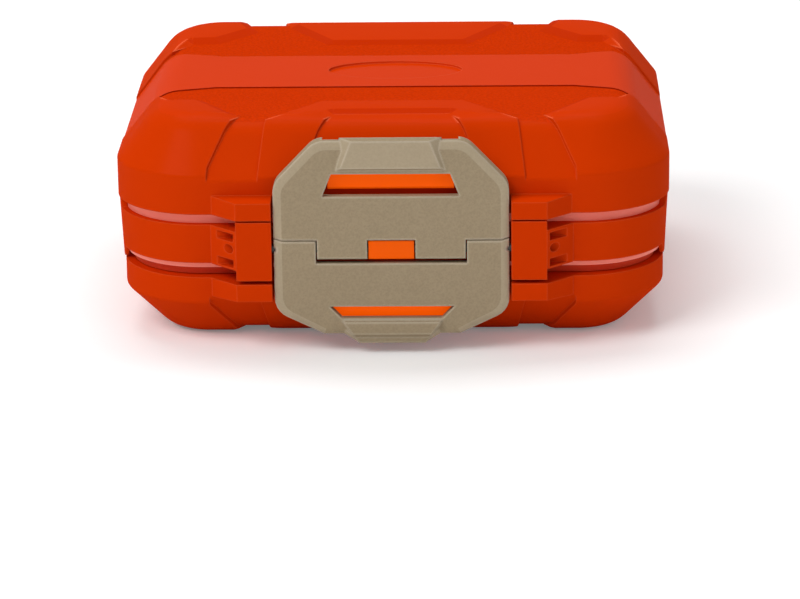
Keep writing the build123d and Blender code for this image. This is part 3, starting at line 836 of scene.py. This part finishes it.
@dataclass
class Latch(MouldedPart):
    """A latch, lighter on its side bevels and finger pad: painted light."""

    pad_front: float = -61.95
    front_facing: float = 0.5
    bevel_facing: float = 0.15

    def finishes(self) -> list[Finish]:
        """The grained grey and its lighter copy, which is painted light."""
        return [self.finish, LATCH_PAINTED_LIGHT]

    def area(self, place: Vector, facing: Vector) -> int:
        """Painted light on the finger pad and on the bevels that look sideways and up.

        Args:
            place: A place on the face, in millimetres.
            facing: The face's normal.

        Returns:
            The number of the finish.
        """
        leans = abs(facing.x) > self.bevel_facing or facing.z > self.bevel_facing
        return int(place.y < self.pad_front or (facing.y < -self.front_facing and leans))


@dataclass
class Seal(MouldedPart):
    """A seal, deeper in colour below its thin outer strip."""

    strip_foot: float = 0.0

    def finishes(self) -> list[Finish]:
        """The pale strip and the lip behind it."""
        return [self.finish, SEAL_DEEP]

    def area(self, place: Vector, facing: Vector) -> int:
        """Deep below the strip."""
        return int(place.z < self.strip_foot)


@dataclass
class PlainPart:
    """A CAD piece that is kept as it is and only gets its finish."""

    node: str
    finish: Finish

    def build(self) -> bpy.types.Object:
        """Dresses the node.

        Returns:
            The node's object.
        """
        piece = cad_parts[self.node]
        piece.data.materials.clear()
        piece.data.materials.append(self.finish.material())
        return piece


class GeometryTree(Graph):
    """A Geometry Nodes tree with named inputs."""

    def __init__(self, name: str, sizes: dict[str, float | int]) -> None:
        """Makes the tree and one named input for each size.

        Args:
            name: The tree's name.
            sizes: Names and values of the inputs.
        """
        super().__init__(bpy.data.node_groups.new(name, "GeometryNodeTree"))
        face = self.tree.interface
        face.new_socket("Geometry", in_out="INPUT", socket_type="NodeSocketGeometry")
        face.new_socket("Geometry", in_out="OUTPUT", socket_type="NodeSocketGeometry")
        self.sizes = sizes
        self.keys = {
            size: face.new_socket(
                size, in_out="INPUT",
                socket_type="NodeSocketInt" if isinstance(value, int) else "NodeSocketFloat",
            ).identifier for size, value in sizes.items()
        }
        self.source = self.node("NodeGroupInput")

    def size(self, name: str) -> bpy.types.NodeSocket:
        """The socket of a named input."""
        return self.source.outputs[name]

    def vector(self, x: object = 0.0, y: object = 0.0, z: object = 0.0) -> bpy.types.NodeSocket:
        """A vector of three numbers or sockets."""
        return self.node("ShaderNodeCombineXYZ", {0: x, 1: y, 2: z}).outputs[0]

    def close(self, shape: bpy.types.NodeSocket, finish: Finish) -> None:
        """Ends the tree with real geometry and its material.

        Args:
            shape: The socket of the geometry.
            finish: The finish that it gets.
        """
        real = self.node("GeometryNodeRealizeInstances", {0: shape})
        dressed = self.node("GeometryNodeSetMaterial", {
            "Geometry": real.outputs[0], "Material": finish.material(),
        })
        self.node("NodeGroupOutput", {0: dressed.outputs[0]})

    def run(self, piece: bpy.types.Object) -> bpy.types.Object:
        """Runs the tree on a piece and leaves its plain mesh.

        Args:
            piece: The piece that the tree starts from.

        Returns:
            The same piece.
        """
        modifier = piece.modifiers.new(self.tree.name, "NODES")
        modifier.node_group = self.tree
        for size, value in self.sizes.items():
            modifier[self.keys[size]] = value
        return settled(piece)


@dataclass
class FoamPad:
    """A foam pad in a lid, with half-round ribs across its open side."""

    level: Level
    ribs: int = 11
    rib_rise: float = 1.5
    rib_sink: float = 0.2
    rib_share: float = 0.49
    rib_end: float = 0.18
    rib_points: int = 9
    rib_sides: int = 16
    rib_most: float = 0.4
    rib_inset: float = 0.8
    row_inset: float = 0.55
    edge: float = 1.1
    edge_most: float = 0.45
    edge_steps: int = 5
    glued_edge: float = 0.4
    corner: float = 8.0
    corner_steps: int = 8
    inset: float = 0.5
    sharp_from: float = 50.0

    def build(self) -> bpy.types.Object:
        """Makes the pad: a soft slab with parallel half-round ribs on its open side.

        Returns:
            The finished pad.
        """
        low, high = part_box(self.level.value + "_foam")
        width, depth, thick = (high - low) * PER_METRE
        outward = -1 if self.level is Level.UPPER else 1
        ground = high.z if outward < 0 else low.z
        rib_rise = min(self.rib_rise, thick * self.rib_most)
        slab = thick - rib_rise
        piece = new_object(
            self.level.value + "_foam_pad",
            self.slab(width - 2 * self.inset, depth - 2 * self.inset, slab, outward, ground))
        pitch = (depth - 2 * self.corner * self.row_inset) / self.ribs
        tree = GeometryTree("foam_ribs_" + self.level.value, {
            "Rib Count": self.ribs, "Rib Pitch": metres(pitch),
            "Rib Length": metres(width - 2 * self.corner * self.rib_inset),
            "Rib Radius": metres(pitch * self.rib_share),
            "Rib Rise": metres(rib_rise + self.rib_sink),
            "Ground": ground + outward * metres(slab - self.rib_sink),
        })
        both = tree.node("GeometryNodeJoinGeometry")
        for shape in (self.rib_rows(tree, self.rib(tree)), tree.source.outputs["Geometry"]):
            tree.tree.links.new(shape, both.inputs[0])
        tree.close(both.outputs[0], FOAM_DARK)
        tree.run(piece)
        smooth_by_angle(piece.data, self.sharp_from)
        body = Body.UPPER_LID if self.level is Level.UPPER else Body.LOWER_LID
        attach(piece, body.value)
        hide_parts(self.level.value + "_foam")
        return piece

    def rib(self, tree: GeometryTree) -> bpy.types.NodeSocket:
        """One rib along X about the origin, flattened, with drawn-in ends.

        Args:
            tree: The tree with the sizes of the ribs.

        Returns:
            The socket of the rib.
        """
        half = tree.maths("MULTIPLY", tree.size("Rib Length"), 0.5)
        path = tree.node("GeometryNodeCurvePrimitiveLine", {
            "Start": tree.vector(tree.maths("MULTIPLY", half, -1.0)), "End": tree.vector(half),
        })
        path = tree.node("GeometryNodeResampleCurve", {
            "Curve": path.outputs[0], "Count": self.rib_points,
        })
        along = tree.node("GeometryNodeSplineParameter").outputs["Factor"]
        swell = tree.maths("SINE", tree.maths("MULTIPLY", along, pi), 0.0)
        path = tree.node("GeometryNodeSetCurveRadius", {
            "Curve": path.outputs[0], "Radius": tree.maths("POWER", swell, self.rib_end),
        })
        section = tree.node("GeometryNodeCurvePrimitiveCircle", {
            "Resolution": self.rib_sides, "Radius": tree.size("Rib Radius"),
        }, mode="RADIUS")
        bar = tree.node("GeometryNodeCurveToMesh", {
            "Curve": path.outputs[0], "Profile Curve": section.outputs[0], "Fill Caps": True,
        })
        squeeze = tree.maths("DIVIDE", tree.size("Rib Rise"), tree.size("Rib Radius"))
        return tree.node("GeometryNodeTransform", {
            "Geometry": bar.outputs[0], "Scale": tree.vector(1.0, 1.0, squeeze),
        }).outputs[0]

    @staticmethod
    def rib_rows(tree: GeometryTree, rib: bpy.types.NodeSocket) -> bpy.types.NodeSocket:
        """Sets the rib at every pitch from front to back.

        Args:
            tree: The tree with the sizes of the ribs.
            rib: The socket of one rib.

        Returns:
            The socket of all the ribs.
        """
        start = tree.maths("MULTIPLY", tree.size("Rib Pitch"), tree.maths(
            "MULTIPLY", tree.maths("SUBTRACT", tree.size("Rib Count"), 1.0), -0.5))
        rows = tree.node("GeometryNodeMeshLine", {
            "Count": tree.size("Rib Count"),
            "Start Location": tree.vector(0.0, start, tree.size("Ground")),
            "Offset": tree.vector(0.0, tree.size("Rib Pitch"), 0.0),
        })
        return tree.node("GeometryNodeInstanceOnPoints", {
            "Points": rows.outputs[0], "Instance": rib,
        }).outputs[0]

    def slab(self, width: float, depth: float, thick: float, outward: int,
             ground: float) -> bpy.types.Mesh:
        """The pad's slab: rounded corners, and an edge that rolls in all round.

        Args:
            width: Length along X.
            depth: Length along Y.
            thick: Thickness.
            outward: 1 if the open side looks up, -1 if it looks down.
            ground: Height of the glued side in metres.

        Returns:
            The slab's mesh.
        """
        shape = bmesh.new()
        rings = []
        roll = min(self.edge, thick * self.edge_most)
        profile = [(roll * self.glued_edge, 0.0), (0.0, roll * self.glued_edge)]
        for step in range(self.edge_steps + 1):
            turn = step / self.edge_steps * pi / 2
            profile.append((roll * (1 - cos(turn)), thick - roll * (1 - sin(turn))))
        for inset, height in profile:
            ring = []
            corner = self.corner - inset
            for index in range(4 * (self.corner_steps + 1)):
                quarter, part = divmod(index, self.corner_steps + 1)
                angle = (quarter + part / self.corner_steps) * pi / 2
                sx = 1 if quarter in (0, 3) else -1
                sy = 1 if quarter in (0, 1) else -1
                ring.append(shape.verts.new((
                    metres(sx * (width / 2 - self.corner) + corner * cos(angle)),
                    metres(sy * (depth / 2 - self.corner) + corner * sin(angle)),
                    ground + outward * metres(height))))
            rings.append(ring)
        for lower, upper in zip(rings, rings[1:]):
            for index, vert in enumerate(lower):
                after = (index + 1) % len(lower)
                shape.faces.new((vert, lower[after], upper[after], upper[index]))
        shape.faces.new(rings[0])
        shape.faces.new(rings[-1])
        bmesh.ops.recalc_face_normals(shape, faces=shape.faces)
        mesh = bpy.data.meshes.new(self.level.value + "_foam_slab")
        shape.to_mesh(mesh)
        shape.free()
        return mesh


@dataclass
class TrayRivets:
    """The domed rivets that hold both trays to the web."""

    head: float = 2.6
    shank: float = 1.4
    dome: float = 1.1
    dome_steps: int = 6
    sides: int = 28
    sharp_from: float = 40.0

    def ring(self, shape: bmesh.types.BMesh, radius: float,
             level: float) -> list[bmesh.types.BMVert]:
        """Adds the corners of one ring, a single corner where it is on the axis.

        Args:
            shape: The mesh that gets them.
            radius: The ring's radius.
            level: The ring's height.

        Returns:
            The corners.
        """
        turns = [step / self.sides * 2 * pi for step in range(self.sides)] if radius else [0.0]
        places = [(radius * cos(turn), radius * sin(turn), level) for turn in turns]
        return [shape.verts.new(tuple(map(metres, place))) for place in places]

    def rivet(self, height: float) -> bpy.types.Mesh:
        """One rivet about the Z axis, from z = 0 up, with a dome at each end.

        Args:
            height: Length over both domes.

        Returns:
            The rivet's mesh.
        """
        turns = [step / self.dome_steps * pi / 2 for step in range(self.dome_steps + 1)]
        arc = [(self.head * sin(turn), self.dome * (1 - cos(turn))) for turn in turns]
        side = arc + [(self.shank, self.dome)]
        side += [(radius, height - level) for radius, level in reversed(side)]
        shape = bmesh.new()
        rings = [self.ring(shape, radius, level) for radius, level in side]
        for lower, upper in zip(rings, rings[1:]):
            for turn in range(self.sides):
                after = (turn + 1) % self.sides
                corners = [lower[turn % len(lower)], lower[after % len(lower)],
                           upper[after % len(upper)], upper[turn % len(upper)]]
                shape.faces.new(list(dict.fromkeys(corners)))
        bmesh.ops.recalc_face_normals(shape, faces=shape.faces)
        mesh = bpy.data.meshes.new("rivet")
        shape.to_mesh(mesh)
        shape.free()
        return mesh

    def build(self) -> bpy.types.Object:
        """Sets a rivet at each place that the CAD rivets have.

        Returns:
            The four rivets as one piece.
        """
        nodes = [f"tray_rivet_{number}" for number in range(1, 5)]
        boxes = [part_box(node) for node in nodes]
        centres = [(low + high) / 2 for low, high in boxes]
        wide = max(c.x for c in centres) - min(c.x for c in centres)
        deep = max(c.y for c in centres) - min(c.y for c in centres)
        low, high = boxes[0]
        piece = new_object("tray_rivets", self.rivet((high.z - low.z) * PER_METRE))
        tree = GeometryTree("rivet_places", {
            "Width": wide, "Depth": deep, "Foot": low.z,
            "Middle": sum(c.y for c in centres) / len(centres),
        })
        grid = tree.node("GeometryNodeMeshGrid", {
            "Size X": tree.size("Width"), "Size Y": tree.size("Depth"),
            "Vertices X": 2, "Vertices Y": 2,
        })
        placed = tree.node("GeometryNodeSetPosition", {
            "Geometry": grid.outputs[0],
            "Offset": tree.vector(0.0, tree.size("Middle"), tree.size("Foot")),
        })
        heads = tree.node("GeometryNodeInstanceOnPoints", {
            "Points": placed.outputs[0], "Instance": tree.source.outputs["Geometry"],
        })
        tree.close(heads.outputs[0], RIVET_BLACK)
        tree.run(piece)
        smooth_by_angle(piece.data, self.sharp_from)
        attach(piece, Body.MIDDLE.value)
        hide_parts(*nodes)
        return piece


@dataclass
class Shell:
    """Both lids and the frame between them."""

    base_step: tuple[float, float] = (1.3, 0.6)
    base_bar: tuple[float, float] = (6.4, 11.4)

    def build(self) -> list[bpy.types.Object]:
        """Makes the three shell pieces.

        Returns:
            The pieces.
        """
        upper = Lid("upper_lid", Body.UPPER_LID, Slot.SHELL, SHELL_SMOOTH)
        # The lower bar lies in shade and gets the stronger painted glow.
        lower = Lid(
            "lower_lid", Body.LOWER_LID, Slot.SHELL, SHELL_SMOOTH,
            half_width=upper.half_width - self.base_step[0],
            half_depth=upper.half_depth - self.base_step[1], bar_heights=self.base_bar,
            bar_finish=BAR_PAINTED_GLOW_STRONG)
        middle = MiddleFrame("mid_frame", Body.MIDDLE, Slot.SHELL, SHELL_SMOOTH)
        return [upper.build(), lower.build(), middle.build()]


@dataclass
class Latches:
    """Both grey latches and their common pin."""

    bodies: tuple[Body, Body] = (Body.UPPER_LATCH, Body.LOWER_LATCH)

    def build(self) -> list[bpy.types.Object]:
        """Makes the latches and dresses the pin.

        Returns:
            The pieces.
        """
        latches = [
            Latch(body.value, body, Slot.LATCH, LATCH_GREY).build() for body in self.bodies]
        # The pin is darkened as painted shade for the gap it crosses.
        return [*latches, PlainPart("latch_pin", PIN_PAINTED_SHADE).build()]


@dataclass
class Hinges:
    """The four rear hinge pins."""

    sides: tuple[str, str] = ("left", "right")

    def build(self) -> list[bpy.types.Object]:
        """Dresses the pins.

        Returns:
            The pins.
        """
        return [PlainPart(f"{level.value}_hinge_pin_{side}", PIN_STEEL).build()
                for level in Level for side in self.sides]


@dataclass
class Insides:
    """Trays, dividers, rivets and seals of the frame, and the lids' foam."""

    dividers: dict[Level, int] = field(
        default_factory=lambda: {Level.UPPER: 4, Level.LOWER: 3})
    strip_feet: dict[Level, float] = field(
        default_factory=lambda: {Level.UPPER: 0.0, Level.LOWER: 18.85})

    def build(self) -> list[bpy.types.Object]:
        """Makes what is inside.

        Returns:
            The pieces.
        """
        made = []
        for level, count in self.dividers.items():
            made.append(MouldedPart(f"{level.value}_tray", Body.MIDDLE, Slot.TRAY,
                                    TRAY_FROST).build())
            made.append(Seal(f"{level.value}_seal", Body.MIDDLE, Slot.SEAL, SEAL_ROSE,
                             strip_foot=self.strip_feet[level]).build())
            made += [MouldedPart(f"{level.value}_divider_{number}", Body.MIDDLE, Slot.DIVIDER,
                                 DIVIDER_FROST).build() for number in range(1, count + 1)]
            made.append(FoamPad(level).build())
        made.append(TrayRivets().build())
        return made


@dataclass(frozen=True)
class SoftBox:
    """An area lamp: its place and size in metres, its power in watts."""

    name: str
    place: tuple[float, float, float]
    size: tuple[float, float]
    power: float

    def build(self, aim: Vector) -> None:
        """Adds the lamp.

        Args:
            aim: The point it looks at, in metres.
        """
        made = bpy.data.lights.new(self.name, "AREA")
        made.shape = "RECTANGLE"
        made.size, made.size_y = self.size
        made.energy = self.power
        stand = bpy.data.objects.new(self.name, made)
        stand.location = self.place
        stand.rotation_euler = (aim - stand.location).to_track_quat("-Z", "Y").to_euler()
        bpy.context.scene.collection.objects.link(stand)


@dataclass
class Studio:
    """Floor, lamps, world and the photograph's camera."""

    azimuth: float = 1.43
    elevation: float = 18.0
    roll: float = -0.74
    focal_pixels: float = 3850.0
    picture_width: float = 800.0
    distance: float = 881.0
    aim: tuple[float, float, float] = (0.0, -54.4, 32.0)
    across: float = -1.93
    above: float = 19.92
    sensor: float = 36.0
    clip: tuple[float, float] = (0.05, 20.0)
    ambient: float = 0.38
    floor_size: float = 6.0
    lit_point: tuple[float, float, float] = (0.0, 0.0, 0.03)
    lamps: tuple[SoftBox, ...] = (
        SoftBox("key", (-0.8, -0.8, 1.15), (0.9, 0.7), 11.6),
        SoftBox("fill", (0.9, -0.9, 0.6), (0.8, 0.8), 1.3),
        SoftBox("top", (-0.1, 0.5, 1.3), (1.0, 0.7), 7.6),
    )

    def camera(self) -> None:
        """Makes the camera at the photograph's angle."""
        turn, rise, roll = map(radians, (self.azimuth, self.elevation, self.roll))
        back = Vector((sin(turn) * cos(rise), -cos(turn) * cos(rise), sin(rise)))
        right = Vector((cos(turn), sin(turn), 0.0))
        up = back.cross(right)
        right, up = right * cos(roll) + up * sin(roll), up * cos(roll) - right * sin(roll)
        place = Vector(self.aim) + back * self.distance - right * self.across - up * self.above
        made = bpy.data.cameras.new("camera")
        made.sensor_width = self.sensor
        made.lens = self.focal_pixels / self.picture_width * made.sensor_width
        made.clip_start, made.clip_end = self.clip
        stand = bpy.data.objects.new("camera", made)
        stand.matrix_world = Matrix.Translation(place / PER_METRE) @ Matrix(
            (right, up, back)).transposed().to_4x4()
        bpy.context.scene.collection.objects.link(stand)
        bpy.context.scene.camera = stand

    def world(self) -> None:
        """A pale surround that the camera sees as white."""
        made = bpy.data.worlds.new("studio")
        bpy.context.scene.world = made
        made.use_nodes = True
        graph = Graph(made.node_tree)
        soft, white = (
            graph.node("ShaderNodeBackground", {"Color": WHITE, "Strength": strength}).outputs[0]
            for strength in (self.ambient, 1.0))
        mixed = graph.node("ShaderNodeMixShader", {0: graph.seen(), 1: soft, 2: white})
        graph.node("ShaderNodeOutputWorld", {"Surface": mixed.outputs[0]})

    def floor(self) -> None:
        """A wide pale floor."""
        shape = bmesh.new()
        bmesh.ops.create_grid(shape, x_segments=2, y_segments=2, size=self.floor_size)
        mesh = bpy.data.meshes.new("floor")
        shape.to_mesh(mesh)
        shape.free()
        mesh.materials.append(Paper(
            "floor_paper", (0.95, 0.95, 0.95), (0.93, 0.93, 0.93), roughness=0.85, swing=0.02,
            mottle_size=120.0, grain_size=1.5, grain_depth=0.01, specular=0.0).material())
        made = new_object("floor", mesh)

    def build(self) -> None:
        """Sets up the whole studio."""
        bpy.context.scene.view_settings.view_transform = "Standard"
        self.camera()
        self.world()
        self.floor()
        for lamp in self.lamps:
            lamp.build(Vector(self.lit_point))


def corners(box: tuple[Vector, Vector]) -> list[list[float]]:
    """A box as plain lists."""
    return [list(corner) for corner in box]


def main() -> None:
    """Builds the sub-assemblies in order."""
    logging.basicConfig(level=logging.INFO, format="%(message)s")
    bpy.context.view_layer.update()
    Studio().build()
    for part in (Shell(), Latches(), Hinges(), Insides()):
        for piece in part.build():
            log.info("%s: %s", type(part).__name__, piece.name)


if __name__ == "__main__":
    main()
